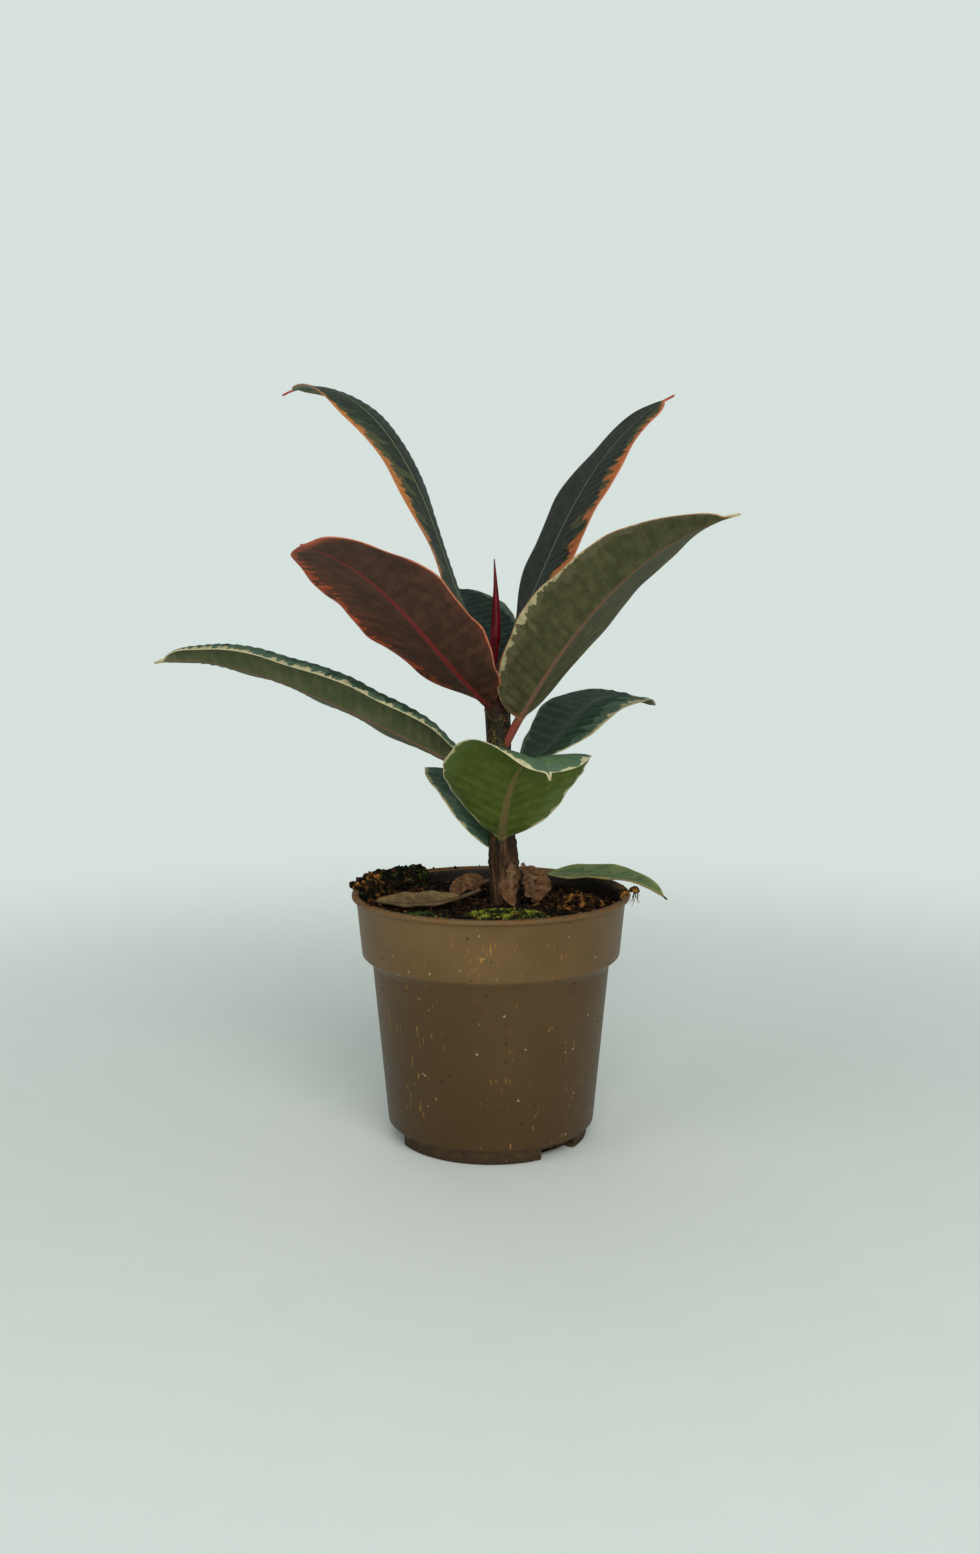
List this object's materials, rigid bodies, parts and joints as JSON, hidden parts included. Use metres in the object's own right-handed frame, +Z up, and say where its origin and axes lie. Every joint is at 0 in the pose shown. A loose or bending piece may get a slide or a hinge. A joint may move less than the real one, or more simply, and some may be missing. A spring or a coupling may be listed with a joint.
{
  "type": "potted rubber plant",
  "caption": "Young variegated rubber plant with broad waxy leaves on one upright woody stem, growing in a round tapered nursery pot with a banded rim.",
  "frame": {"origin": "centre of the flat underside of the pot, on the surface that the pot stands on", "axes": "+Z up along the pot's axis, -Y towards the plant's front, +X to the right as seen from the front"},
  "size_m": [0.2355, 0.205, 0.3239],
  "materials": {
    "pot_plastic": "satin taupe nursery-pot plastic with specks and dirt",
    "potting_soil": "matte dark crumbly peat soil",
    "stem_bark": "matte fibrous bark below, green-brown crackled bark above",
    "mature_leaf": "waxy satin green leaf with a cream margin",
    "young_leaf": "waxy gloss dark leaf with an orange-red margin and a red-brown underside",
    "crimson_sheath": "satin crimson bud sheath",
    "fallen_leaf": "satin grey-green leaf with dirt specks",
    "dry_leaf": "matte dry brown-olive leaf",
    "dry_sheath": "matte papery tan-brown withered sheath",
    "moss": "matte green and yellow-green moss with soil crumbs",
    "bark_crumbs": "matte orange-brown and black crumbs",
    "rootlet": "matte brown rootlet with soil"
  },
  "bodies": {
    "root": {"pot": "pot_plastic", "potting_soil": "potting_soil", "stem": "stem_bark", "leaf_low_back_left": "mature_leaf", "leaf_front": "mature_leaf", "leaf_low_left": "mature_leaf", "leaf_right_back": "mature_leaf", "leaf_mid_right": "mature_leaf", "leaf_back": "mature_leaf", "leaf_mid_left": "young_leaf", "leaf_upper_left": "young_leaf", "leaf_upper_right": "young_leaf", "shoot_sheath": "crimson_sheath", "rootlet_crumb": "rootlet", "fallen_green_leaf": "fallen_leaf", "dry_leaf": "dry_leaf", "dry_sheath_left": "dry_sheath", "dry_sheath_right": "dry_sheath", "moss_front": "moss", "moss_front_left": "moss", "crumb_clump_right": "bark_crumbs", "rim_heap_left": "moss"}
  },
  "joints": []
}
